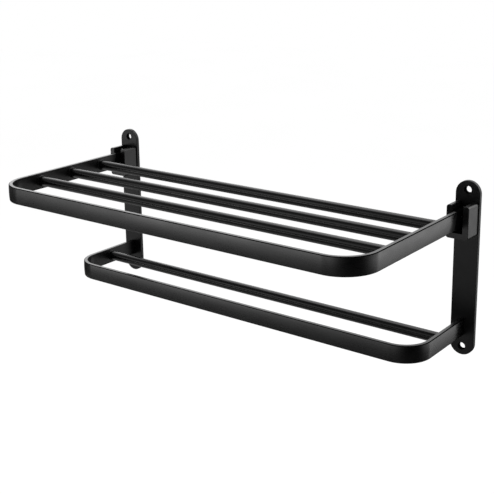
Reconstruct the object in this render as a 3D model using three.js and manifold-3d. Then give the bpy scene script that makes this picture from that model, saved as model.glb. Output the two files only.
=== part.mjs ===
// Wall rack in black bar: a shelf that folds up, over a fixed towel frame.
// Millimetres, +Z up. X runs along the bars, the wall is the plane y = 0 and the rack lies at y < 0.
// The origin is on the wall, midway between the two wall plates and level with their lower ends.
import * as THREE from 'three';
import { mergeVertices } from 'three/addons/utils/BufferGeometryUtils.js';
import Module from 'manifold-3d';

// Clearances
const fitGap = 0.3;          // between a piece and the neighbour that it fits in, on or beside
const overrun = 2;           // how far a cutting shape passes the face that it cuts

// Wall plates: upright flat bars with fully round ends and a wall screw hole at each end
const plateSpacing = 500;    // centre line to centre line, along X
const plateWidth = 28.5;
const plateThickness = 5;
const plateHeight = 200;
const wallHoleDiameter = 8.5;
const wallHoleInset = 10;    // plate end to the hole's centre

// Flat band that both frames are bent from
const bandHeight = 20;
const bandThickness = 5;

// Shelf frame, a wide U that hinges at its two rear ends
const shelfReach = 234;      // wall to the front face
const shelfCorner = 40;      // outer radius of the two front corners
const shelfRailShares = [0.315, 0.583, 0.851]; // of the straight run from the wall to the corner

// Towel frame, a shorter U that butts against the plates
const towelReach = 116;
const towelCorner = 33;
const towelLevel = 33.5;     // plates' lower ends to the band's middle height
const towelRailShare = 0.6;  // of the straight run from the wall to the corner

// Round rails between a frame's arms
const railDiameter = 12;
const spigotDiameter = 8;    // short reduced end that plugs into the arm
const spigotLength = 2;

// Hinge blocks, U shaped in front view and open to the top and the front
const blockInset = 1.25;     // plate's side to the block's side
const blockDepth = 23;
const blockDrop = 22.5;      // plate's upper end to the top of the cheeks
const blockSlot = 12;        // clear width between the cheeks
const blockFloor = 6.5;
const blockLip = 5.5;        // how far the cheeks rise over the band
const blockRound = 3;        // radius along the outer long edges
const cheekRound = 2;        // radius along the slot's upper edges
const tailClearance = 0.86;  // left over the floor when the arm's square tail swings past

// Hinge pin and the spacers that centre the arm in the slot
const pinDiameter = 6;
const pinBlindWall = 2;      // left outside the blind end of the bore
const pinSocketSize = 3;     // key socket, across corners
const pinSocketDepth = 2.5;
const spacerDiameter = 12;

// Countersunk screws, driven from the back of the plates
const blockScrewShank = 4;
const blockScrewHead = 7.5;
const blockScrewReach = 9;   // length inside the hinge block
const blockScrewEdge = 6;    // block's upper or lower face to the screw
const armScrewWall = 1;      // left of the band beside an arm screw's shank
const armScrewReach = 12;    // length inside the towel arm
const armScrewRise = 5;      // from the band's middle height
const screwHeadRim = 0.4;    // straight rim over the head's cone
const screwSocketDepth = 1.4;
const socketShare = 0.42;    // key socket across corners, as a share of the head's diameter

// Facets
const cornerSteps = 20;      // per quarter turn of a frame corner
const endSteps = 16;         // per quarter turn of a plate end
const edgeSteps = 6;         // per quarter turn of a block edge
const roundSides = 40;
const smallSides = 24;
const socketSides = 6;

// Places that follow from the sizes
const sides = [['left', -1], ['right', 1]];
const bandHalf = bandHeight / 2;
const frameHalf = (plateSpacing + bandThickness) / 2;
const armInner = frameHalf - bandThickness;
const blockWidth = plateWidth - 2 * blockInset;
const cheekWidth = (blockWidth - blockSlot) / 2;
const tailSwing = Math.hypot(bandHalf, bandHalf);
const hingeRise = blockFloor + tailClearance + tailSwing;
const blockHeight = hingeRise + bandHalf + blockLip;
const blockBase = plateHeight - blockDrop - blockHeight;
const hingeY = -(plateThickness + fitGap + bandHalf);
const hingeZ = blockBase + hingeRise;
const armScrewShank = bandThickness - 2 * armScrewWall;
const blockScrewOffset = (blockSlot + cheekWidth) / 2;
const blockScrew = { shank: blockScrewShank, head: blockScrewHead, reach: blockScrewReach };
const armScrew = { shank: armScrewShank, head: 2 * armScrewShank, reach: armScrewReach };
const armScrewPlaces = [['low', towelLevel - armScrewRise], ['high', towelLevel + armScrewRise]];

const wasm = await Module();
wasm.setup();

function plateCentre(side) {
  return side * plateSpacing / 2;
}

function toSolid(geometry) {
  const bare = geometry.clone();
  bare.deleteAttribute('normal');
  bare.deleteAttribute('uv');
  const merged = mergeVertices(bare);
  return new wasm.Manifold(new wasm.Mesh({
    numProp: 3,
    vertProperties: new Float32Array(merged.attributes.position.array),
    triVerts: new Uint32Array(merged.index.array),
  }));
}

function toGeometry(solid) {
  const { vertProperties, triVerts } = solid.getMesh();
  const geometry = new THREE.BufferGeometry();
  geometry.setAttribute('position', new THREE.BufferAttribute(vertProperties, 3));
  geometry.setIndex(new THREE.BufferAttribute(triVerts, 1));
  geometry.computeVertexNormals();
  return geometry;
}

function cut(solid, cutters) {
  return cutters.reduce((left, cutter) => left.subtract(cutter), solid);
}

function block(x0, x1, y0, y1, z0, z1) {
  const geometry = new THREE.BoxGeometry(x1 - x0, y1 - y0, z1 - z0);
  geometry.translate((x0 + x1) / 2, (y0 + y1) / 2, (z0 + z1) / 2);
  return toSolid(geometry);
}

// Round bar along X, from x0 to x1
function barX(diameter, x0, x1, y, z, count = roundSides) {
  const geometry = new THREE.CylinderGeometry(diameter / 2, diameter / 2, x1 - x0, count);
  geometry.rotateZ(Math.PI / 2);
  geometry.translate((x0 + x1) / 2, y, z);
  return toSolid(geometry);
}

// Round bar along Y, from y0 to y1
function barY(diameter, x, z, y0, y1, count = smallSides) {
  const geometry = new THREE.CylinderGeometry(diameter / 2, diameter / 2, y1 - y0, count);
  geometry.translate(x, (y0 + y1) / 2, z);
  return toSolid(geometry);
}

// Countersunk screw shape with its head at y = top, pointing away from the wall.
// grow widens every radius, and lift carries the head on past the wall plane for a cutting shape.
function screwShape(x, z, { shank, head, length, top, grow = 0, lift = 0 }) {
  const shankR = shank / 2 + grow;
  const headR = head / 2 + grow;
  const coneEnd = screwHeadRim + headR - shankR;
  const profile = [
    new THREE.Vector2(0, -length - grow),
    new THREE.Vector2(shankR, -length - grow),
    new THREE.Vector2(shankR, -coneEnd),
    new THREE.Vector2(headR, -screwHeadRim),
    new THREE.Vector2(headR, lift),
    new THREE.Vector2(0, lift),
  ];
  const geometry = new THREE.LatheGeometry(profile, smallSides);
  geometry.translate(x, top, z);
  return toSolid(geometry);
}

function screw(x, z, { shank, head, reach }) {
  const length = plateThickness - fitGap + reach;
  const body = screwShape(x, z, { shank, head, length, top: -fitGap });
  const socket = barY(head * socketShare, x, z, -fitGap - screwSocketDepth, 0, socketSides);
  return cut(body, [socket]);
}

function screwHole(x, z, { shank, head, reach }) {
  const length = plateThickness - fitGap + reach;
  return screwShape(x, z, { shank, head, length, top: -fitGap, grow: fitGap, lift: overrun });
}

// Plan outline of a U-bent band whose arms run back to y = rear
function bandOutline(reach, corner, rear) {
  const inner = corner - bandThickness;
  const cornerX = frameHalf - corner;
  const cornerY = corner - reach;
  const shape = new THREE.Shape();
  shape.moveTo(frameHalf, rear);
  shape.lineTo(frameHalf, cornerY);
  shape.absarc(cornerX, cornerY, corner, 0, -Math.PI / 2, true);
  shape.lineTo(-cornerX, -reach);
  shape.absarc(-cornerX, cornerY, corner, -Math.PI / 2, -Math.PI, true);
  shape.lineTo(-frameHalf, rear);
  shape.lineTo(-armInner, rear);
  shape.lineTo(-armInner, cornerY);
  shape.absarc(-cornerX, cornerY, inner, -Math.PI, -Math.PI / 2, false);
  shape.lineTo(cornerX, bandThickness - reach);
  shape.absarc(cornerX, cornerY, inner, -Math.PI / 2, 0, false);
  shape.lineTo(armInner, rear);
  shape.closePath();
  return shape;
}

function bandFrame(reach, corner, rear, level) {
  const outline = bandOutline(reach, corner, rear);
  const geometry = new THREE.ExtrudeGeometry(outline, {
    depth: bandHeight, bevelEnabled: false, curveSegments: cornerSteps,
  });
  geometry.translate(0, 0, level - bandHalf);
  return toSolid(geometry);
}

// Blind sockets in the inner faces of both arms, for one rail's spigots
function railSockets(y, z) {
  const end = armInner + spigotLength + fitGap;
  return [
    barX(spigotDiameter + 2 * fitGap, armInner - overrun, end, y, z, smallSides),
    barX(spigotDiameter + 2 * fitGap, -end, overrun - armInner, y, z, smallSides),
  ];
}

function rail(y, z) {
  const end = armInner + spigotLength;
  const body = barX(railDiameter, -armInner, armInner, y, z);
  return body.add(barX(spigotDiameter, -end, end, y, z, smallSides));
}

function railY(reach, corner, share) {
  return -(reach - corner) * share;
}

// The two cheeks of the block at one side of the rack: a name, then their direction from its slot
function cheeks(side) {
  return [['inner', -side], ['outer', side]];
}

// Four screws hold each block, two in each cheek
function blockScrewPlaces(side) {
  const low = blockBase + blockScrewEdge;
  const high = blockBase + blockHeight - blockScrewEdge;
  return cheeks(side).flatMap(([cheek, direction]) => {
    const x = plateCentre(side) + direction * blockScrewOffset;
    return [[`${cheek}_low`, x, low], [`${cheek}_high`, x, high]];
  });
}

function blockScrewHoles(side) {
  return blockScrewPlaces(side).map(([, x, z]) => screwHole(x, z, blockScrew));
}

function armScrewHoles(side) {
  return armScrewPlaces.map(([, z]) => screwHole(plateCentre(side), z, armScrew));
}

function wallPlate(side) {
  const centre = plateCentre(side);
  const radius = plateWidth / 2;
  const shape = new THREE.Shape();
  shape.moveTo(radius, radius);
  shape.lineTo(radius, plateHeight - radius);
  shape.absarc(0, plateHeight - radius, radius, 0, Math.PI, false);
  shape.lineTo(-radius, radius);
  shape.absarc(0, radius, radius, Math.PI, 2 * Math.PI, false);
  const geometry = new THREE.ExtrudeGeometry(shape, {
    depth: plateThickness, bevelEnabled: false, curveSegments: 2 * endSteps,
  });
  geometry.rotateX(Math.PI / 2);
  geometry.translate(centre, 0, 0);
  const front = -plateThickness - overrun;
  return cut(toSolid(geometry), [
    barY(wallHoleDiameter, centre, wallHoleInset, front, overrun),
    barY(wallHoleDiameter, centre, plateHeight - wallHoleInset, front, overrun),
    ...blockScrewHoles(side),
    ...armScrewHoles(side),
  ]);
}

// Front view of the hinge block, centred on its slot and standing on z = 0
function blockOutline() {
  const half = blockWidth / 2;
  const slotHalf = blockSlot / 2;
  const r = blockRound;
  const s = Math.min(cheekRound, cheekWidth - r);
  const shape = new THREE.Shape();
  shape.moveTo(slotHalf, blockFloor);
  shape.lineTo(-slotHalf, blockFloor);
  shape.lineTo(-slotHalf, blockHeight - s);
  shape.absarc(-slotHalf - s, blockHeight - s, s, 0, Math.PI / 2, false);
  shape.lineTo(r - half, blockHeight);
  shape.absarc(r - half, blockHeight - r, r, Math.PI / 2, Math.PI, false);
  shape.lineTo(-half, r);
  shape.absarc(r - half, r, r, Math.PI, 1.5 * Math.PI, false);
  shape.lineTo(half - r, 0);
  shape.absarc(half - r, r, r, -Math.PI / 2, 0, false);
  shape.lineTo(half, blockHeight - r);
  shape.absarc(half - r, blockHeight - r, r, 0, Math.PI / 2, false);
  shape.lineTo(slotHalf + s, blockHeight);
  shape.absarc(slotHalf + s, blockHeight - s, s, Math.PI / 2, Math.PI, false);
  shape.closePath();
  return shape;
}

// Both blocks are the same casting: the pin goes in from the -X side, and its bore is blind at +X
function hingeBlock(side) {
  const centre = plateCentre(side);
  const geometry = new THREE.ExtrudeGeometry(blockOutline(), {
    depth: blockDepth, bevelEnabled: false, curveSegments: edgeSteps,
  });
  geometry.rotateX(Math.PI / 2);
  geometry.translate(centre, -plateThickness, blockBase);
  const boreStart = centre - blockWidth / 2 - overrun;
  const boreEnd = centre + blockWidth / 2 - pinBlindWall;
  return cut(toSolid(geometry), [
    barX(pinDiameter + 2 * fitGap, boreStart, boreEnd, hingeY, hingeZ, smallSides),
    ...blockScrewHoles(side),
  ]);
}

function hingePin(side) {
  const centre = plateCentre(side);
  const start = centre - blockWidth / 2 + fitGap;
  const end = centre + blockWidth / 2 - pinBlindWall - fitGap;
  const socket = barX(pinSocketSize, start - overrun, start + pinSocketDepth, hingeY, hingeZ, socketSides);
  return cut(barX(pinDiameter, start, end, hingeY, hingeZ, smallSides), [socket]);
}

// Ring on the pin between the arm and the cheek that lies in the given direction
function pinSpacer(side, direction) {
  const near = plateCentre(side) + direction * (bandThickness / 2 + fitGap);
  const far = plateCentre(side) + direction * (blockSlot / 2 - fitGap);
  const [x0, x1] = direction > 0 ? [near, far] : [far, near];
  const bore = barX(pinDiameter + 2 * fitGap, x0 - overrun, x1 + overrun, hingeY, hingeZ, smallSides);
  return cut(barX(spacerDiameter, x0, x1, hingeY, hingeZ), [bore]);
}

const shelfRailPlaces = shelfRailShares.map((share) => railY(shelfReach, shelfCorner, share));
const towelRailY = railY(towelReach, towelCorner, towelRailShare);

// The arms' tails are round over the hinge and square under it, so they clear the plates
// as the shelf folds up and bear on them when it is down.
function shelfFrame() {
  const band = bandFrame(shelfReach, shelfCorner, -(plateThickness + fitGap), hingeZ);
  const past = frameHalf + overrun;
  const top = hingeZ + bandHalf + overrun;
  const tailBox = block(-past, past, hingeY, 0, hingeZ, top);
  const tailRound = barX(bandHeight, -past - overrun, past + overrun, hingeY, hingeZ, 2 * roundSides);
  return cut(band, [
    cut(tailBox, [tailRound]),
    barX(pinDiameter + 2 * fitGap, -past, past, hingeY, hingeZ, smallSides),
    ...shelfRailPlaces.flatMap((y) => railSockets(y, hingeZ)),
  ]);
}

function towelFrame() {
  const band = bandFrame(towelReach, towelCorner, -plateThickness, towelLevel);
  const holes = sides.flatMap(([, side]) => armScrewHoles(side));
  return cut(band, [...holes, ...railSockets(towelRailY, towelLevel)]);
}

// Finishes
const blackCoat = { color: 0x17171a, roughness: 0.42, metalness: 0.25 };
const blackNylon = { color: 0x2a2a2c, roughness: 0.6, metalness: 0 };
const zincSteel = { color: 0xa9adb2, roughness: 0.35, metalness: 1 };

const rack = new THREE.Group();

function add(parent, name, solid, finish) {
  const mesh = new THREE.Mesh(toGeometry(solid), new THREE.MeshStandardMaterial(finish));
  mesh.name = name;
  parent.add(mesh);
}

// Fixed side: what stays on the wall
const fixed = new THREE.Group();
rack.add(fixed);
for (const [label, side] of sides) {
  add(fixed, `wall_plate_${label}`, wallPlate(side), blackCoat);
  add(fixed, `hinge_block_${label}`, hingeBlock(side), blackCoat);
  add(fixed, `hinge_pin_${label}`, hingePin(side), zincSteel);
  for (const [cheek, direction] of cheeks(side)) {
    add(fixed, `pin_spacer_${label}_${cheek}`, pinSpacer(side, direction), blackNylon);
  }
  for (const [place, x, z] of blockScrewPlaces(side)) {
    add(fixed, `block_screw_${label}_${place}`, screw(x, z, blockScrew), zincSteel);
  }
  for (const [place, z] of armScrewPlaces) {
    add(fixed, `arm_screw_${label}_${place}`, screw(plateCentre(side), z, armScrew), zincSteel);
  }
}
add(fixed, 'towel_frame', towelFrame(), blackCoat);
add(fixed, 'towel_rail', rail(towelRailY, towelLevel), blackCoat);

// Folding side: the shelf
const shelf = new THREE.Group();
rack.add(shelf);
add(shelf, 'shelf_frame', shelfFrame(), blackCoat);
['back', 'middle', 'front'].forEach((place, i) => {
  add(shelf, `shelf_rail_${place}`, rail(shelfRailPlaces[i], hingeZ), blackCoat);
});

export default rack;
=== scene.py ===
"""Looks of a black towel rack with a folding shelf, in metres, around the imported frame."""
from math import cos, pi, radians, sin, sqrt

import bmesh
import bpy
from mathutils import Matrix, Vector
from mathutils.geometry import tessellate_polygon


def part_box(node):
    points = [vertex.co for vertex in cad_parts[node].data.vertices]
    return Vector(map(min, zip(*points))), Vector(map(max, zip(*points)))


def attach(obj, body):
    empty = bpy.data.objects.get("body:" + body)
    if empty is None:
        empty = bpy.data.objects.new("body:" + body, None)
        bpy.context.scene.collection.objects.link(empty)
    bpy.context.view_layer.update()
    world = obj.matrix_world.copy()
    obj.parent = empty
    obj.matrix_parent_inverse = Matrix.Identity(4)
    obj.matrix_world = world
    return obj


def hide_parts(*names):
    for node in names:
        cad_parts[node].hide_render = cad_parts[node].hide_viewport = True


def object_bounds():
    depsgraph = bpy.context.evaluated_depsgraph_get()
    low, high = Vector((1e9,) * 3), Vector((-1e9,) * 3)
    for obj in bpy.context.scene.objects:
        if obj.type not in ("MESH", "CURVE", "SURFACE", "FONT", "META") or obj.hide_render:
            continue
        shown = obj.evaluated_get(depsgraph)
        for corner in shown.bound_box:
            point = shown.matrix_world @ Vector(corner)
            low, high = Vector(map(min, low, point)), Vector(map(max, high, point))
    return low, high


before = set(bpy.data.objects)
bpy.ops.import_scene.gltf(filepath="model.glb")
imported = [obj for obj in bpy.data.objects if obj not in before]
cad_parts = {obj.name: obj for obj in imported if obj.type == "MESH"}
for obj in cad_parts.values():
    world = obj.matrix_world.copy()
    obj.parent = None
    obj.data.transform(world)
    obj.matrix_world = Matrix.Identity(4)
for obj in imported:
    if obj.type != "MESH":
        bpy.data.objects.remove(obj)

cad_low, cad_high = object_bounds()

MM = 0.001
HAIR = MM / 1000
FULL_TURN = 2 * pi
QUARTER_TURN = pi / 2

# Sizes of the rack that its boxes don't give
CLEARANCE = 0.3 * MM
BAND_THICKNESS = 5 * MM
BAND_INNER_EDGE = 0.4 * MM
BAND_OUTER_EDGE = 1.1 * MM
BAND_CROWN = 0.33 * MM
SHELF_CORNER = 40 * MM
TOWEL_CORNER = 33 * MM
PLATE_EDGE = 0.6 * MM
WALL_HOLE_RADIUS = 4.25 * MM
WALL_HOLE_INSET = 10 * MM
WALL_HOLE_EDGE = 0.15 * MM
WALL_HOLE_DRAFT = 0.7 * MM
BLOCK_SLOT = 12 * MM
BLOCK_FLOOR = 6.5 * MM
BLOCK_ROUND = 3 * MM
CHEEK_ROUND = 2 * MM
BLOCK_EDGE = 0.4 * MM
RAIL_FILLET = 0.9 * MM
RAIL_BITE = 0.25 * MM
HEAD_RIM = 0.4 * MM
SOCKET_SHARE = 0.42
SCREW_SOCKET_DEPTH = 1.4 * MM
SCREW_TIP = 0.1 * MM
PIN_SOCKET_RADIUS = 1.5 * MM
PIN_SOCKET_DEPTH = 2.5 * MM
SMALL_EDGE = 0.25 * MM

# Steps round curved stretches, and the angle above which an edge stays sharp
EDGE_STEPS = 5
BAND_EDGE_STEPS = 6
ROUND_STEPS = 12
CORNER_STEPS = 40
CIRCLE_STEPS = 48
RAIL_STEPS = 64
CROWN_STEPS = 10
SHARP_ANGLE = radians(35)

# A point's painted shade is from 0 to 1 and also makes the coat rougher. Faces above these shares get the
# painted half-shade and deep-shade coats
INNER_SHARE = 0.2
RECESS_SHARE = 0.7
INNER_PAINTED_SHADE = 0.4

# Painted shade on the shelf's arms where they run into the blocks: (y past the block's front, painted shade,
# how much further forward the line lies at the arm's lower edge)
ARM_SHADE = ((2 * MM, 1.0, 0.0), (-5 * MM, 1.0, 6 * MM), (-8 * MM, 0.45, 18 * MM), (-16 * MM, 0.0, 24 * MM))

SIDES = ("left", "right")
CHEEKS = ("inner", "outer")
LEVELS = ("low", "high")


class Shell:
    """Points and faces of one piece, with how worn each point's edge is and how much painted shade it gets.
    """

    def __init__(self):
        self.points = []
        self.faces = []
        self.wear = []
        self.painted_shade = []

    def ring(self, points, wear=0.0, painted_shade=0.0):
        first = len(self.points)
        self.points += [Vector(p) for p in points]
        self.wear += [wear] * len(points) if isinstance(wear, float) else list(wear)
        self.painted_shade += [painted_shade] * len(points) if isinstance(painted_shade, float) else list(painted_shade)
        return list(range(first, len(self.points)))

    def bridge(self, a, b):
        for i in range(len(a)):
            j = (i + 1) % len(a)
            self.faces.append((a[i], a[j], b[j], b[i]))

    def bridge_all(self, rings):
        for a, b in zip(rings, rings[1:]):
            self.bridge(a, b)

    def cap(self, *loops):
        index = [i for loop in loops for i in loop]
        outlines = [[self.points[i] for i in loop] for loop in loops]
        for triangle in tessellate_polygon(outlines):
            self.faces.append(tuple(index[k] for k in triangle))

    def fan(self, loop, tip):
        centre = self.ring([tip])[0]
        for i in range(len(loop)):
            self.faces.append((loop[i], loop[(i + 1) % len(loop)], centre))


def arc(cx, cy, radius, start, end, steps):
    """Points on an arc from one angle to another, both ends included."""
    angles = [start + (end - start) * k / steps for k in range(steps + 1)]
    return [(cx + radius * cos(a), cy + radius * sin(a)) for a in angles]


def circle(cx, cy, radius):
    return arc(cx, cy, radius, 0, FULL_TURN, CIRCLE_STEPS)[:-1]


def hexagon(radius, angle):
    """Distance from the centre to a hexagon's side at an angle."""
    return radius * cos(pi / 6) / cos(angle % (pi / 3) - pi / 6)


def inset(loop, distance):
    """A counter-clockwise outline moved inwards, with mitred corners."""
    moved = []
    for i, point in enumerate(loop):
        before = Vector(loop[i - 1])
        here = Vector(point)
        after = Vector(loop[(i + 1) % len(loop)])
        a = (here - before).normalized()
        b = (after - here).normalized()
        na = Vector((-a.y, a.x))
        nb = Vector((-b.y, b.x))
        mitre = (na + nb) / (1 + na.dot(nb))
        moved.append(here + mitre * distance)
    return moved


def rounding(radius):
    """(inset, depth, wear) steps from a flat face round its edge to the side wall."""
    steps = []
    for k in range(EDGE_STEPS + 1):
        t = QUARTER_TURN * (1 - k / EDGE_STEPS)
        steps.append((radius * (1 - cos(t)), radius * (1 - sin(t)), sin(2 * t)))
    return steps


def slab(outline, y_front, y_back, edge, tunnels=(), painted_shade=0.0):
    """A solid with an outline in X and Z, rounded along both faces.

    A tunnel is a list of (loop, y, wear, painted shade) from the front face to the back one."""
    shell = Shell()
    front_rings = []
    back_rings = []
    for k, (grow, depth, wear) in enumerate(rounding(edge)):
        loop = inset(outline, grow)
        rim_painted_shade = painted_shade if k else 0.0
        front_rings.append(shell.ring([(x, y_front + depth, z) for x, z in loop], wear, rim_painted_shade))
        back_rings.append(shell.ring([(x, y_back - depth, z) for x, z in loop], wear, rim_painted_shade))
    rings = front_rings + back_rings[::-1]
    shell.bridge_all(rings)
    front = [rings[0]]
    back = [rings[-1]]
    for tunnel in tunnels:
        holes = []
        for loop, y, wear, hole_painted_shade in tunnel:
            holes.append(shell.ring([(x, y, z) for x, z in loop], wear, hole_painted_shade))
        shell.bridge_all(holes)
        front.append(holes[0])
        back.append(holes[-1])
    shell.cap(*front)
    shell.cap(*back)
    return shell


def turned(profile, origin, axis, steps=CIRCLE_STEPS, socket=0):
    """A round piece. The profile is (radius, height) along the axis, closed at both ends.

    The last few rings named by socket are a hexagonal key socket."""
    start = Vector(origin)
    along = Vector(axis)
    u = along.orthogonal().normalized()
    v = along.cross(u)
    shell = Shell()
    rings = []
    for k, (radius, height) in enumerate(profile):
        centre = start + along * height
        hexed = k >= len(profile) - socket
        points = []
        for i in range(steps):
            angle = FULL_TURN * i / steps
            r = hexagon(radius, angle) if hexed else radius
            points.append(centre + u * (r * cos(angle)) + v * (r * sin(angle)))
        rings.append(shell.ring(points))
    shell.bridge_all(rings)
    shell.fan(rings[0], start + along * profile[0][1])
    shell.fan(rings[-1], start + along * profile[-1][1])
    return shell


def washer(inner, outer, x0, x1, y, z, edge):
    """A ring round an axis along X, with rounded rims."""
    shell = Shell()
    profile = [(inner, x0 + edge), (inner + edge, x0), (outer - edge, x0), (outer, x0 + edge),
               (outer, x1 - edge), (outer - edge, x1), (inner + edge, x1), (inner, x1 - edge)]
    rings = [shell.ring([(x, b, c) for b, c in circle(y, z, radius)]) for radius, x in profile]
    shell.bridge_all(rings + rings[:1])
    return shell


def to_mesh(name, shell):
    """A shell's mesh, with its points merged and its faces turned outwards."""
    mesh = bpy.data.meshes.new(name)
    mesh.from_pydata([tuple(p) for p in shell.points], [], shell.faces)
    for label, values in (("wear", shell.wear), ("painted_shade", shell.painted_shade)):
        mesh.attributes.new(label, "FLOAT", "POINT").data.foreach_set("value", values)
    work = bmesh.new()
    work.from_mesh(mesh)
    bmesh.ops.remove_doubles(work, verts=work.verts, dist=HAIR)
    bmesh.ops.recalc_face_normals(work, faces=work.faces)
    work.to_mesh(mesh)
    work.free()
    return mesh


def make_piece(name, node, shell, body, material, cutters=()):
    """Turns a shell into an object that rides on a body and stands for a CAD node."""
    piece = bpy.data.objects.new(name, to_mesh(name, shell))
    bpy.context.scene.collection.objects.link(piece)
    for cutter in cutters:
        bore(piece, cutter)
    piece.data.shade_smooth()
    piece.data.set_sharp_from_angle(angle=SHARP_ANGLE)
    even = piece.modifiers.new("even_normals", "WEIGHTED_NORMAL")
    even.keep_sharp = True
    piece.data.materials.clear()
    piece.data.materials.append(material)
    if max(shell.painted_shade) > 0:
        add_painted_shade_coats(piece.data)
    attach(piece, body)
    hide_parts(node)
    return piece


def bore(piece, cutter):
    """Cuts a shell out of a piece."""
    tool = bpy.data.objects.new("cutter", to_mesh("cutter", cutter))
    bpy.context.scene.collection.objects.link(tool)
    cut = piece.modifiers.new("bore", "BOOLEAN")
    cut.operation = "DIFFERENCE"
    cut.solver = "EXACT"
    cut.object = tool
    graph = bpy.context.evaluated_depsgraph_get()
    result = bpy.data.meshes.new_from_object(piece.evaluated_get(graph))
    piece.modifiers.clear()
    piece.data = result
    bpy.data.objects.remove(tool)


def add_painted_shade_coats(mesh):
    """Gives the faces in painted shade the coats with less gloss and with none."""
    mesh.materials.append(painted_half_shade_coat)
    mesh.materials.append(painted_deep_shade_coat)
    painted_shade = mesh.attributes["painted_shade"].data
    for face in mesh.polygons:
        share = min(painted_shade[v].value for v in face.vertices)
        face.material_index = (share > INNER_SHARE) + (share > RECESS_SHARE)


# Materials

class Nodes:
    """Short calls for one material's or world's node tree."""

    def __init__(self, tree):
        self.tree = tree
        tree.nodes.clear()

    def add(self, kind, **inputs):
        node = self.tree.nodes.new(kind)
        for name, value in inputs.items():
            self.feed(node, name.replace("_", " "), value)
        return node

    def feed(self, node, name, value):
        """Links or sets an input, which is named or numbered."""
        socket = node.inputs[int(name) if name.isdigit() else name]
        if isinstance(value, bpy.types.NodeSocket):
            self.tree.links.new(value, socket)
        else:
            socket.default_value = value

    def place(self):
        return self.add("ShaderNodeTexCoord").outputs["Object"]

    def attribute(self, name):
        node = self.add("ShaderNodeAttribute")
        node.attribute_name = name
        return node.outputs["Fac"]

    def math(self, operation, a, b=0.0, clamp=False):
        node = self.tree.nodes.new("ShaderNodeMath")
        node.operation = operation
        node.use_clamp = clamp
        self.feed(node, "0", a)
        self.feed(node, "1", b)
        return node.outputs[0]

    def pick(self, share, a, b):
        """A number between a and b."""
        node = self.tree.nodes.new("ShaderNodeMix")
        for name, value in (("0", share), ("2", a), ("3", b)):
            self.feed(node, name, value)
        return node.outputs[0]

    def mix(self, share, a, b):
        """A colour between a and b."""
        node = self.tree.nodes.new("ShaderNodeMix")
        node.data_type = "RGBA"
        for name, value in (("0", share), ("6", a), ("7", b)):
            self.feed(node, name, value)
        return node.outputs[2]

    def spread(self, value, low, high, to_low, to_high, smooth=False):
        node = self.tree.nodes.new("ShaderNodeMapRange")
        node.interpolation_type = "SMOOTHSTEP" if smooth else "LINEAR"
        for name, number in (("Value", value), ("From Min", low), ("From Max", high),
                             ("To Min", to_low), ("To Max", to_high)):
            self.feed(node, name, number)
        return node.outputs["Result"]

    def swing(self, noise, middle, amount):
        """A value that a noise swings about its middle."""
        return self.spread(noise, NOISE_LOW, NOISE_HIGH, middle - amount, middle + amount)

    def noise(self, place, size, detail=2.0, stretch=(1, 1, 1)):
        """Noise whose grains are about one size across, longer where stretched."""
        mapping = self.add("ShaderNodeMapping", Vector=place)
        mapping.inputs["Scale"].default_value = [1 / (size * s) for s in stretch]
        node = self.add("ShaderNodeTexNoise", Vector=mapping.outputs[0], Scale=1.0, Detail=detail)
        return node.outputs["Fac"]

    def bump(self, height, strength, depth):
        return self.add("ShaderNodeBump", Strength=strength, Distance=depth, Height=height).outputs[0]

    def surface(self, **inputs):
        """The tree's principled shader and its output."""
        shader = self.add("ShaderNodeBsdfPrincipled", **inputs)
        self.add("ShaderNodeOutputMaterial", Surface=shader.outputs[0])


def new_material(name):
    material = bpy.data.materials.new(name)
    material.use_nodes = True
    return material, Nodes(material.node_tree)


def grey(level, tint=0.0):
    """A near-neutral colour, a little bluer for a positive tint."""
    return (level * (1 - tint), level * (1 - tint / 2), level * (1 + tint), 1)


# The range that most of a noise's values lie in
NOISE_LOW = 0.3
NOISE_HIGH = 0.7

# Powder coat: colours, sizes of its noises, and what they and the edges' wear change
COAT_DARK = grey(0.001, 0.04)
COAT_LIGHT = grey(0.002, 0.04)
COAT_WORN = grey(0.015, 0.02)
GRAIN_SIZE = 0.35 * MM
CLOUD_SIZE = 14 * MM
DRAWN_SIZE = 0.9 * MM
DRAWN_STRETCH = (60, 1, 1)
PATCH_SIZE = 5 * MM
PATCH_RANGE = (0.42, 0.62)
PATCH_WEAR = (0.15, 1.0)
SPECK_RANGE = (0.35, 0.65)
WORN_SHARE = 0.5
CLOUD_ROUGHNESS = 0.035
GRAIN_ROUGHNESS = 0.02
EDGE_POLISH = 0.12
PAINTED_SHADE_ROUGHNESS = 0.6
GRAIN_HEIGHT = 0.25
PEEL_DEPTH = 0.02 * MM


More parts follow.
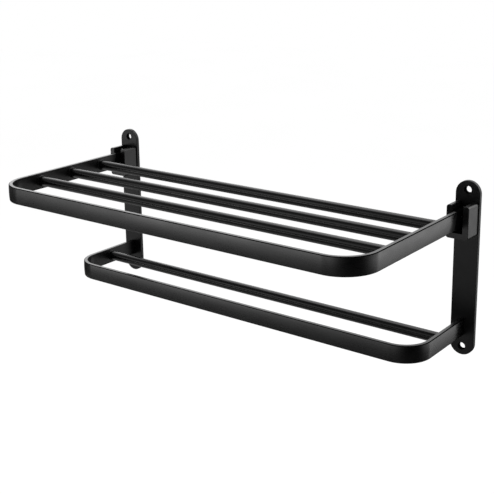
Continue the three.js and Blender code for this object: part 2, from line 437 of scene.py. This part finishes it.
def powder_coat(name, roughness, peel, stretch=(1, 1, 1), streak=0.0, gloss=0.5, relief=0.35):
    """Satin black powder coat: fine orange peel, clouded gloss, thin and shiny along edges."""
    material, n = new_material(name)
    place = n.place()
    grain = n.noise(place, GRAIN_SIZE, detail=3.0)
    peeled = n.noise(place, peel, detail=1.5, stretch=stretch)
    cloud = n.noise(place, CLOUD_SIZE, detail=3.0, stretch=stretch)
    drawn = n.noise(place, DRAWN_SIZE, stretch=DRAWN_STRETCH)
    patch = n.noise(place, PATCH_SIZE, detail=4.0)
    wear = n.attribute("wear")
    rubbed = n.math("MULTIPLY", wear, n.spread(patch, *PATCH_RANGE, *PATCH_WEAR), clamp=True)
    speck = n.mix(n.spread(grain, *SPECK_RANGE, 0.0, 1.0), COAT_DARK, COAT_LIGHT)
    colour = n.mix(n.math("MULTIPLY", rubbed, WORN_SHARE), speck, COAT_WORN)
    rough = n.math("ADD", n.swing(cloud, roughness, CLOUD_ROUGHNESS), n.swing(grain, 0.0, GRAIN_ROUGHNESS))
    rough = n.math("SUBTRACT", rough, n.math("MULTIPLY", wear, EDGE_POLISH))
    rough = n.math("ADD", rough, n.math("MULTIPLY", n.math("SUBTRACT", drawn, 0.5), streak))
    # Rougher where the painted shade lies
    rough = n.math("MAXIMUM", rough, n.math("MULTIPLY", n.attribute("painted_shade"), PAINTED_SHADE_ROUGHNESS))
    height = n.math("ADD", peeled, n.math("MULTIPLY", grain, GRAIN_HEIGHT))
    bump = n.bump(height, relief, PEEL_DEPTH)
    n.surface(Base_Color=colour, Roughness=rough, Normal=bump, Specular_IOR_Level=gloss)
    return material


# Turned metal
RING_SIZE = 0.15 * MM
PLATING_SIZE = 2.5 * MM
PLATING_SHADE = 0.85
RING_ROUGHNESS = 0.06
PLATING_ROUGHNESS = 0.05
RING_RELIEF = 0.25
RING_DEPTH = 0.01 * MM


def turned_metal(name, level, roughness, tint):
    """Bright metal with the fine grain left by turning and faint plating clouds."""
    material, n = new_material(name)
    place = n.place()
    fine = n.noise(place, RING_SIZE, detail=3.0)
    cloud = n.noise(place, PLATING_SIZE, detail=3.0)
    colour = n.mix(cloud, grey(level * PLATING_SHADE, tint), grey(level, tint))
    rough = n.math("ADD", n.swing(fine, roughness, RING_ROUGHNESS), n.swing(cloud, 0.0, PLATING_ROUGHNESS))
    n.surface(Base_Color=colour, Roughness=rough, Normal=n.bump(fine, RING_RELIEF, RING_DEPTH), Metallic=1.0)
    return material


# Nylon
NYLON_DARK = grey(0.012)
NYLON_LIGHT = grey(0.02)
NYLON_CLOUD = 3 * MM
SPARK_SIZE = 0.12 * MM
SPARK_RELIEF = 0.5
SPARK_DEPTH = 0.02 * MM


def moulded_nylon(name, roughness, swing):
    """Black nylon with a fine spark-eroded mould texture."""
    material, n = new_material(name)
    place = n.place()
    spark = n.noise(place, SPARK_SIZE)
    colour = n.mix(n.noise(place, NYLON_CLOUD), NYLON_DARK, NYLON_LIGHT)
    rough = n.swing(spark, roughness, swing)
    n.surface(Base_Color=colour, Roughness=rough, Normal=n.bump(spark, SPARK_RELIEF, SPARK_DEPTH))
    return material


plate_coat = powder_coat("plate_coat", roughness=0.34, peel=1.1 * MM, gloss=0.24)
block_coat = powder_coat("block_coat", roughness=0.3, peel=0.9 * MM, gloss=0.35)
band_coat = powder_coat("band_coat", roughness=0.27, peel=1.2 * MM, stretch=(3, 3, 1), streak=0.05)
rail_coat = powder_coat("rail_coat", roughness=0.22, peel=1.0 * MM, stretch=(4, 1, 1), streak=0.02,
                        gloss=0.29, relief=0.04)
# Painted shade: copies of the coat with less gloss and with none, for faces in painted half shade and deep
# shade
painted_half_shade_coat = powder_coat("painted_half_shade_coat", roughness=0.38, peel=1.2 * MM, gloss=0.28)
painted_deep_shade_coat = powder_coat("painted_deep_shade_coat", roughness=0.8, peel=1.1 * MM, gloss=0.0)
zinc = turned_metal("zinc", level=0.66, roughness=0.3, tint=0.02)
pin_steel = turned_metal("pin_steel", level=0.5, roughness=0.26, tint=0.01)
nylon = moulded_nylon("nylon", roughness=0.59, swing=0.09)


# Wall plates and screws

def plate_outline(low, high):
    radius = (high.x - low.x) / 2
    cx = (low.x + high.x) / 2
    top = arc(cx, high.z - radius, radius, 0, pi, CORNER_STEPS)
    bottom = arc(cx, low.z + radius, radius, pi, FULL_TURN, CORNER_STEPS)
    return top + bottom


def wall_hole(x, z, y_front, y_back):
    """A plain round hole with softened rims, a little narrower at the wall."""
    front = []
    back = []
    for k, (grow, depth, _) in enumerate(rounding(WALL_HOLE_EDGE)):
        # Painted shade: the hole's wall gets the deep-shade coat, its rim on the face does not
        painted_shade = 1.0 if k else 0.0
        front.append((circle(x, z, WALL_HOLE_RADIUS + grow), y_front + depth, 0.0, painted_shade))
        back.append((circle(x, z, WALL_HOLE_RADIUS - WALL_HOLE_DRAFT + grow), y_back - depth, 0.0, painted_shade))
    return front + back[::-1]


def screw_radii(node):
    """(head radius, shank radius) of a screw node, from its box and its mesh's far end."""
    low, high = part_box(node)
    middle = (low + high) / 2
    tip = [v.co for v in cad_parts[node].data.vertices if v.co.y < low.y + SCREW_TIP]
    shank = max(sqrt((p.x - middle.x) ** 2 + (p.z - middle.z) ** 2) for p in tip)
    return (high.x - low.x) / 2, shank


def countersink(node, y_front, y_back):
    """The hole that a countersunk screw sits in, from the plate's front to its back."""
    low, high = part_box(node)
    middle = (low + high) / 2
    head, shank = (r + CLEARANCE for r in screw_radii(node))
    cone_end = high.y - HEAD_RIM - (head - shank)
    # The fourth numbers are painted shade on the hole's walls
    return [(circle(middle.x, middle.z, shank), y_front, 0.0, 0.0),
            (circle(middle.x, middle.z, shank), y_front + SMALL_EDGE, 0.0, 1.0),
            (circle(middle.x, middle.z, shank), cone_end, 0.0, 1.0),
            (circle(middle.x, middle.z, head), high.y - HEAD_RIM, 0.3, 0.5),
            (circle(middle.x, middle.z, head), y_back, 0.6, 0.0)]


def plate_screws(side):
    blocks = [f"block_screw_{side}_{cheek}_{level}" for cheek in CHEEKS for level in LEVELS]
    return blocks + [f"arm_screw_{side}_{level}" for level in LEVELS]


def make_plate(side):
    node = f"wall_plate_{side}"
    low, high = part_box(node)
    x = (low.x + high.x) / 2
    tunnels = [wall_hole(x, low.z + WALL_HOLE_INSET, low.y, high.y),
               wall_hole(x, high.z - WALL_HOLE_INSET, low.y, high.y)]
    tunnels += [countersink(name, low.y, high.y) for name in plate_screws(side)]
    shell = slab(plate_outline(low, high), low.y, high.y, PLATE_EDGE, tunnels)
    make_piece(f"plate_{side}", node, shell, "wall_side", plate_coat)


def make_screw(node):
    """A countersunk screw, its head at the wall side and a key socket in it."""
    low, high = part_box(node)
    middle = (low + high) / 2
    head, shank = screw_radii(node)
    length = high.y - low.y
    key = head * SOCKET_SHARE
    e = SMALL_EDGE
    profile = [(shank - e, 0), (shank, e), (shank, length - HEAD_RIM - (head - shank)),
               (head, length - HEAD_RIM), (head, length - e / 2), (head - e / 2, length),
               (key, length), (key, length - SCREW_SOCKET_DEPTH)]
    shell = turned(profile, (middle.x, low.y, middle.z), (0, 1, 0), socket=2)
    make_piece(f"{node}_plated", node, shell, "wall_side", zinc)


# Hinge blocks, pins and spacers

def pin_hole(side):
    """The middle of a hinge pin, and the radius of the holes that it sits in."""
    low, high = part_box(f"hinge_pin_{side}")
    return (low + high) / 2, (high.z - low.z) / 2 + CLEARANCE


def pin_bore(side, x0, x1):
    """A cylinder along a hinge pin, to cut a bore with."""
    pin, radius = pin_hole(side)
    return turned([(radius, 0), (radius, x1 - x0)], (x0, pin.y, pin.z), (1, 0, 0))


def block_outline(low, high):
    """The block's U, open at the top."""
    cx = (low.x + high.x) / 2
    slot = BLOCK_SLOT / 2
    floor = low.z + BLOCK_FLOOR
    r = BLOCK_ROUND
    s = CHEEK_ROUND
    quarter = QUARTER_TURN
    points = [(cx + slot, floor)]
    points += reversed(arc(cx + slot + s, high.z - s, s, quarter, pi, ROUND_STEPS))
    points += reversed(arc(high.x - r, high.z - r, r, 0, quarter, ROUND_STEPS))
    points += reversed(arc(high.x - r, low.z + r, r, -quarter, 0, ROUND_STEPS))
    points += reversed(arc(low.x + r, low.z + r, r, pi, pi + quarter, ROUND_STEPS))
    points += reversed(arc(low.x + r, high.z - r, r, quarter, pi, ROUND_STEPS))
    points += reversed(arc(cx - slot - s, high.z - s, s, 0, quarter, ROUND_STEPS))
    points += [(cx - slot, floor)]
    return points[::-1]


def slot_painted_shade(across, height):
    """Painted shade: 1 in a block's slot, falling to 0 over the rounds of its cheeks."""
    if height < BLOCK_FLOOR / 2:
        return 0.0
    return min(1.0, max(0.0, (BLOCK_SLOT / 2 + CHEEK_ROUND - abs(across)) / CHEEK_ROUND))


def make_block(side):
    node = f"hinge_block_{side}"
    low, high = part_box(node)
    pin_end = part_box(f"hinge_pin_{side}")[1].x
    cutter = pin_bore(side, low.x - BLOCK_ROUND, pin_end + CLEARANCE)
    outline = block_outline(low, high)
    painted_shade = [slot_painted_shade(x - (low.x + high.x) / 2, z - low.z) for x, z in outline]
    shell = slab(outline, low.y, high.y, BLOCK_EDGE, painted_shade=painted_shade)
    make_piece(f"block_{side}", node, shell, "wall_side", block_coat, [cutter])


def make_pin(side):
    node = f"hinge_pin_{side}"
    low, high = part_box(node)
    middle = (low + high) / 2
    radius = (high.z - low.z) / 2
    length = high.x - low.x
    e = SMALL_EDGE
    profile = [(radius - e, 0), (radius, e), (radius, length - e), (radius - e, length),
               (PIN_SOCKET_RADIUS, length), (PIN_SOCKET_RADIUS, length - PIN_SOCKET_DEPTH)]
    shell = turned(profile, (high.x, middle.y, middle.z), (-1, 0, 0), socket=2)
    make_piece(f"pin_{side}", node, shell, "wall_side", pin_steel)


def make_spacer(side, cheek):
    node = f"pin_spacer_{side}_{cheek}"
    low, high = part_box(node)
    middle = (low + high) / 2
    inner = pin_hole(side)[1]
    outer = (high.z - low.z) / 2
    shell = washer(inner, outer, low.x, high.x, middle.y, middle.z, SMALL_EDGE)
    make_piece(f"spacer_{side}_{cheek}", node, shell, "wall_side", nylon)


# Frames of bent band

def band_section(low, high):
    """(outward offset, height, wear, painted shade) round the band's section.

    Its outer face is slightly crowned, with the rounder edges. The top one of these carries a painted dark
    line, and the inner face painted half shade."""
    half = BAND_THICKNESS / 2
    points = []

    def corner(face, edge, top, start, matt=False):
        for k in range(BAND_EDGE_STEPS + 1):
            a = start + QUARTER_TURN * k / BAND_EDGE_STEPS
            n = face + edge * cos(a)
            z = (high - edge if top else low + edge) + edge * sin(a)
            # A matt edge is a painted dark line: full painted shade, so the deep-shade coat, and no wear
            painted_shade = 1.0 if matt and 0 < k < BAND_EDGE_STEPS else 0.0
            # The inner face gets painted half shade
            if n < HAIR - half:
                painted_shade = INNER_PAINTED_SHADE
            points.append((n, z, 0.0 if matt else sin(pi * k / BAND_EDGE_STEPS), painted_shade))

    outer = half - BAND_CROWN - BAND_OUTER_EDGE
    corner(outer, BAND_OUTER_EDGE, False, -QUARTER_TURN)
    for k in range(1, CROWN_STEPS):
        t = k / CROWN_STEPS
        n = half - BAND_CROWN * (2 * t - 1) ** 2
        points.append((n, low + BAND_OUTER_EDGE + (high - low - 2 * BAND_OUTER_EDGE) * t, 0.0, 0.0))
    corner(outer, BAND_OUTER_EDGE, True, 0, matt=True)
    inner = BAND_INNER_EDGE - half
    corner(inner, BAND_INNER_EDGE, True, QUARTER_TURN)
    corner(inner, BAND_INNER_EDGE, False, pi)
    return points


def band_stations(half, reach, corner, rears):
    """(x, y, outward normal, top, painted shade, slant) along the centre line, left arm to right arm."""
    radius = corner - BAND_THICKNESS / 2
    arm = half - BAND_THICKNESS / 2
    bend_x = half - corner
    bend_y = corner - reach
    stations = [(-arm, y, (-1, 0), top, painted_shade, slant) for y, top, painted_shade, slant in rears]
    for centre, start in ((-bend_x, pi), (bend_x, pi + QUARTER_TURN)):
        for k in range(CORNER_STEPS + 1):
            a = start + QUARTER_TURN * k / CORNER_STEPS
            x = centre + radius * cos(a)
            y = bend_y + radius * sin(a)
            stations.append((x, y, (cos(a), sin(a)), None, 0.0, 0.0))
    stations += [(arm, y, (1, 0), top, painted_shade, slant) for y, top, painted_shade, slant in reversed(rears)]
    return stations


def make_band(name, node, body, corner, rears, cutters=()):
    """A band bent to a U.

    Its rears are (y, top, painted shade, slant) from an arm's rear end forwards. The top is None where the
    band has its full height, and the slant moves the lower edge's points forwards."""
    low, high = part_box(node)
    shell = Shell()
    rings = []
    for x, y, (nx, ny), top, painted_shade, slant in band_stations(high.x, -low.y, corner, rears):
        section = band_section(low.z, high.z if top is None else top)
        lean = slant / (high.z - low.z)
        points = [(x + nx * n, y + ny * n - lean * (high.z - z), z) for n, z, _, _ in section]
        painted_shades = [max(painted_shade, own) for _, _, _, own in section]
        rings.append(shell.ring(points, [wear for _, _, wear, _ in section], painted_shades))
    shell.bridge_all(rings)
    shell.cap(rings[0])
    shell.cap(rings[-1])
    make_piece(name, node, shell, body, band_coat, cutters)


def make_shelf_band():
    """The shelf's band: each arm's tail is round over the hinge pin and square under it."""
    low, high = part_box("shelf_frame")
    pin = pin_hole("left")[0]
    half_height = (high.z - low.z) / 2
    rears = []
    for k in range(ROUND_STEPS + 1):
        # The tail round the pin, inside the block, gets full painted shade
        a = QUARTER_TURN * (1 - k / ROUND_STEPS)
        rears.append((pin.y + (high.y - pin.y) * sin(a), pin.z + half_height * cos(a), 1.0, 0.0))
    block_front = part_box("hinge_block_left")[0].y
    rears += [(block_front + past, None, painted_shade, slant) for past, painted_shade, slant in ARM_SHADE]
    cutters = []
    for side in SIDES:
        pin_low, pin_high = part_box(f"hinge_pin_{side}")
        cutters.append(pin_bore(side, pin_low.x, pin_high.x))
    make_band("shelf_band", "shelf_frame", "shelf", SHELF_CORNER, rears, cutters)


def make_towel_band():
    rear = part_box("towel_frame")[1].y
    make_band("towel_band", "towel_frame", "wall_side", TOWEL_CORNER, [(rear, None, 0.0, 0.0)])


# Round rails

def make_rail(node, body, arm_node):
    """A round bar with a small fillet of coat where it meets each arm."""
    low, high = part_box(node)
    middle = (low + high) / 2
    radius = (high.z - low.z) / 2
    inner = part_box(arm_node)[1].x - BAND_THICKNESS
    f = RAIL_FILLET
    profile = [(radius + f, -RAIL_BITE)]
    for k in range(EDGE_STEPS + 1):
        a = QUARTER_TURN * k / EDGE_STEPS
        profile.append((radius + f * (1 - sin(a)), f * (1 - cos(a))))
    profile += [(r, 2 * inner - h) for r, h in reversed(profile)]
    shell = turned(profile, (-inner, middle.y, middle.z), (1, 0, 0), RAIL_STEPS)
    make_piece(f"{node}_bar", node, shell, body, rail_coat)


for side in SIDES:
    make_plate(side)
    make_block(side)
    make_pin(side)
    for cheek in CHEEKS:
        make_spacer(side, cheek)
    for screw in plate_screws(side):
        make_screw(screw)
make_towel_band()
make_shelf_band()
make_rail("towel_rail", "wall_side", "towel_frame")
for place in ("back", "middle", "front"):
    make_rail(f"shelf_rail_{place}", "shelf", "shelf_frame")


# Camera, at the photograph's angle

FRAME_PX = 494
FOCAL_PX = 1023.52
CENTRE_LINE_PX = 187.72
SENSOR = 36.0
CAMERA_YAW = radians(37.618)
CAMERA_PITCH = radians(14.637)
CAMERA_ROLL = radians(-0.791)
CAMERA_PLACE = Vector((708.69, -987.46, 471.97)) * MM
CAMERA_NEAR = 10 * MM
CAMERA_FAR = 100


def make_camera():
    across = cos(CAMERA_PITCH)
    ahead = Vector((-sin(CAMERA_YAW) * across, cos(CAMERA_YAW) * across, -sin(CAMERA_PITCH)))
    level = Vector((cos(CAMERA_YAW), sin(CAMERA_YAW), 0))
    upright = level.cross(ahead)
    right = cos(CAMERA_ROLL) * level + sin(CAMERA_ROLL) * upright
    up = cos(CAMERA_ROLL) * upright - sin(CAMERA_ROLL) * level
    data = bpy.data.cameras.new("camera")
    data.sensor_width = SENSOR
    data.lens = FOCAL_PX / FRAME_PX * SENSOR
    data.shift_y = (CENTRE_LINE_PX - FRAME_PX / 2) / FRAME_PX
    data.clip_start = CAMERA_NEAR
    data.clip_end = CAMERA_FAR
    camera = bpy.data.objects.new("camera", data)
    turn = Matrix((right, up, -ahead)).transposed().to_4x4()
    camera.matrix_world = Matrix.Translation(CAMERA_PLACE) @ turn
    bpy.context.scene.collection.objects.link(camera)
    bpy.context.scene.camera = camera


make_camera()


# Studio: a pale floor, one soft lamp and a surround. The camera sees the surround white, diffuse
# light sees it evenly pale, and mirrored rays see it shaped, dark where the room behind the camera is

FLOOR_DROP = 0.55
FLOOR_SIDE = 12.0
FLOOR_CLOUD = 0.4
FLOOR_DARK = grey(0.8)
FLOOR_LIGHT = grey(0.82)
FLOOR_LIFT = 0.27

LAMP_AZIMUTH = -150
LAMP_ELEVATION = 65
LAMP_DISTANCE = 1.5
LAMP_WIDTH = 1.2
LAMP_HEIGHT = 0.8
LAMP_POWER = 3


def make_floor():
    """A matt floor out of the mirrored rays' sight, lifted to white for the camera alone."""
    material, n = new_material("floor")
    colour = n.mix(n.noise(n.place(), FLOOR_CLOUD), FLOOR_DARK, FLOOR_LIGHT)
    diffuse = n.add("ShaderNodeBsdfDiffuse", Color=colour)
    rays = n.add("ShaderNodeLightPath")
    lift = n.math("MULTIPLY", rays.outputs["Is Camera Ray"], FLOOR_LIFT)
    light = n.add("ShaderNodeEmission", Color=grey(1.0), Strength=lift)
    both = n.add("ShaderNodeAddShader")
    n.feed(both, "0", diffuse.outputs[0])
    n.feed(both, "1", light.outputs[0])
    n.add("ShaderNodeOutputMaterial", Surface=both.outputs[0])
    half = FLOOR_SIDE / 2
    corners = [(x * half, y * half, -FLOOR_DROP) for x, y in ((-1, -1), (1, -1), (1, 1), (-1, 1))]
    mesh = bpy.data.meshes.new("floor")
    mesh.from_pydata(corners, [], [(0, 1, 2, 3)])
    mesh.materials.append(material)
    floor = bpy.data.objects.new("floor", mesh)
    floor.visible_glossy = False
    bpy.context.scene.collection.objects.link(floor)


def around(azimuth, elevation):
    """Unit vector: azimuth 0 is -Y, the room in front, and 90 is +X."""
    a = radians(azimuth)
    e = radians(elevation)
    return Vector((sin(a) * cos(e), -cos(a) * cos(e), sin(e)))


def make_lamp():
    data = bpy.data.lights.new("top", "AREA")
    data.shape = "RECTANGLE"
    data.size = LAMP_WIDTH
    data.size_y = LAMP_HEIGHT
    data.energy = LAMP_POWER
    lamp = bpy.data.objects.new("top", data)
    middle = (cad_low + cad_high) / 2
    lamp.location = middle + around(LAMP_AZIMUTH, LAMP_ELEVATION) * LAMP_DISTANCE
    lamp.rotation_mode = "QUATERNION"
    lamp.rotation_quaternion = (lamp.location - middle).to_track_quat("Z", "Y")
    bpy.context.scene.collection.objects.link(lamp)


# The shaped surround is a sum of lights. Each is a level by azimuth times a level by height.
# Azimuth is in degrees, where 0 is the room in front, 90 the right and 180 behind the wall.
# Height is the sine of the elevation. Two heights stand for one soft step between them.

# Over the wall and the sides: the top faces
SKY = (
    ((-180, 1.6), (-165, 1.1), (-152, 1.1), (-142, 1.9), (-125, 2.2), (-108, 1.4), (-88, 0.4), (-65, 0.2),
     (0, 0.05), (72, 0.01), (82, 0.05), (97, 0.5), (120, 1.0), (150, 2.0), (165, 2.6), (180, 1.6)),
    ((-0.06, 0.0), (0.12, 1.0)),
)
# Low at the front left: the front bands and the rails
GLOW = (
    ((-180, 0.01), (-115, 0.01), (-90, 0.02), (-70, 0.03), (-56, 0.08), (-51, 0.1), (-49, 0.24), (-47, 0.5),
     (-41, 1.06), (-36, 1.0), (-30, 0.56), (-23, 0.35), (-14, 0.42), (-4, 0.5), (10, 0.24), (22, 0.08),
     (36, 0.02), (50, 0.0), (180, 0.0)),
    ((-1.0, 0.1), (-0.75, 0.1), (-0.55, 0.1), (-0.43, 0.13), (-0.35, 0.35), (-0.26, 1.0), (-0.17, 4.6),
     (-0.05, 4.8), (0.03, 1.0), (0.14, 1.1), (0.25, 1.7), (0.4, 1.6), (0.5, 0.8), (0.65, 0.35), (0.8, 0.0)),
)
# Low at the back right: the right arms and cheeks
SIDE = (
    ((-180, 0.03), (-150, 0.03), (60, 0.0), (141, 0.0), (149, 1.8), (151, 1.5), (154, 0.66), (156, 0.42),
     (163, 0.12), (172, 0.04), (180, 0.03)),
    ((-1.0, 0.3), (-0.48, 0.5), (-0.4, 0.76), (-0.32, 1.25), (-0.24, 1.9), (-0.17, 1.9), (-0.1, 1.2),
     (0.0, 0.9), (0.12, 0.5), (0.2, 0.0)),
)
# Beside it, towards the room: the right corners
BEND = (
    ((-180, 0.0), (60, 0.0), (84, 0.02), (96, 0.07), (108, 0.3), (120, 0.46), (126, 0.64), (131, 0.48),
     (135, 0.48), (141, 0.74), (149, 0.0), (180, 0.0)),
    ((-1.0, 0.1), (-0.48, 0.12), (-0.4, 0.3), (-0.33, 1.3), (-0.28, 3.2), (-0.22, 2.2), (-0.15, 1.2),
     (-0.1, 0.9), (0.0, 0.8), (0.12, 0.5), (0.2, 0.0)),
)
# From below on the left: the undersides of the rails
FLANK = (
    ((-180, 0.1), (-143, 0.28), (-110, 0.42), (-80, 0.5), (-62, 0.34), (-52, 0.1), (-44, 0.0), (170, 0.0),
     (180, 0.1)),
    ((-0.55, 1.0), (-0.33, 0.0)),
)
# From the floor all round
GROUND = (
    ((-180, 0.02), (-75, 0.04), (-58, 0.18), (-50, 0.28), (-45, 0.09), (-25, 0.05), (-6, 0.13), (12, 0.14),
     (30, 0.09), (45, 0.06), (66, 0.07), (80, 0.05), (100, 0.03), (180, 0.02)),
    ((-0.43, 1.0), (-0.33, 0.0)),
)
RAMP_TOP = 5.0
PALE_LEVEL = 0.9
WHITE_LEVEL = 1.0


def ramp(n, value, low, high, stops):
    """Levels along a range of a value, joined by straight stretches."""
    node = n.add("ShaderNodeValToRGB", Fac=n.spread(value, low, high, 0, 1))
    elements = node.color_ramp.elements
    while len(elements) < len(stops):
        elements.new(1.0)
    for element, (at, level) in zip(elements, stops):
        element.position = (at - low) / (high - low)
        element.color = grey(level / RAMP_TOP)
    return n.math("MULTIPLY", node.outputs[0], RAMP_TOP)


def by_height(n, height, stops):
    if len(stops) > 2:
        return ramp(n, height, -1, 1, stops)
    (low, low_level), (high, high_level) = stops
    return n.spread(height, low, high, low_level, high_level, smooth=True)


def make_world():
    world = bpy.data.worlds.new("studio")
    bpy.context.scene.world = world
    world.use_nodes = True
    n = Nodes(world.node_tree)
    way = n.add("ShaderNodeTexCoord").outputs["Generated"]
    axes = n.add("ShaderNodeSeparateXYZ", Vector=way).outputs
    angle = n.math("ARCTAN2", axes["X"], n.math("MULTIPLY", axes["Y"], -1.0))
    azimuth = n.math("MULTIPLY", angle, 180 / pi)
    mirrored = 0.0
    for around_stops, height_stops in (SKY, GLOW, SIDE, BEND, FLANK, GROUND):
        level = ramp(n, azimuth, -180, 180, around_stops)
        light = n.math("MULTIPLY", level, by_height(n, axes["Z"], height_stops))
        mirrored = n.math("ADD", mirrored, light)
    rays = n.add("ShaderNodeLightPath").outputs
    seen = n.math("MAXIMUM", rays["Is Camera Ray"], rays["Is Transmission Ray"])
    unseen = n.pick(rays["Is Glossy Ray"], PALE_LEVEL, mirrored)
    strength = n.pick(seen, unseen, WHITE_LEVEL)
    background = n.add("ShaderNodeBackground", Color=grey(1.0), Strength=strength)
    n.add("ShaderNodeOutputWorld", Surface=background.outputs[0])
    world.cycles.sampling_method = "NONE"


make_floor()
make_world()
make_lamp()

bpy.context.scene.view_settings.view_transform = "Standard"
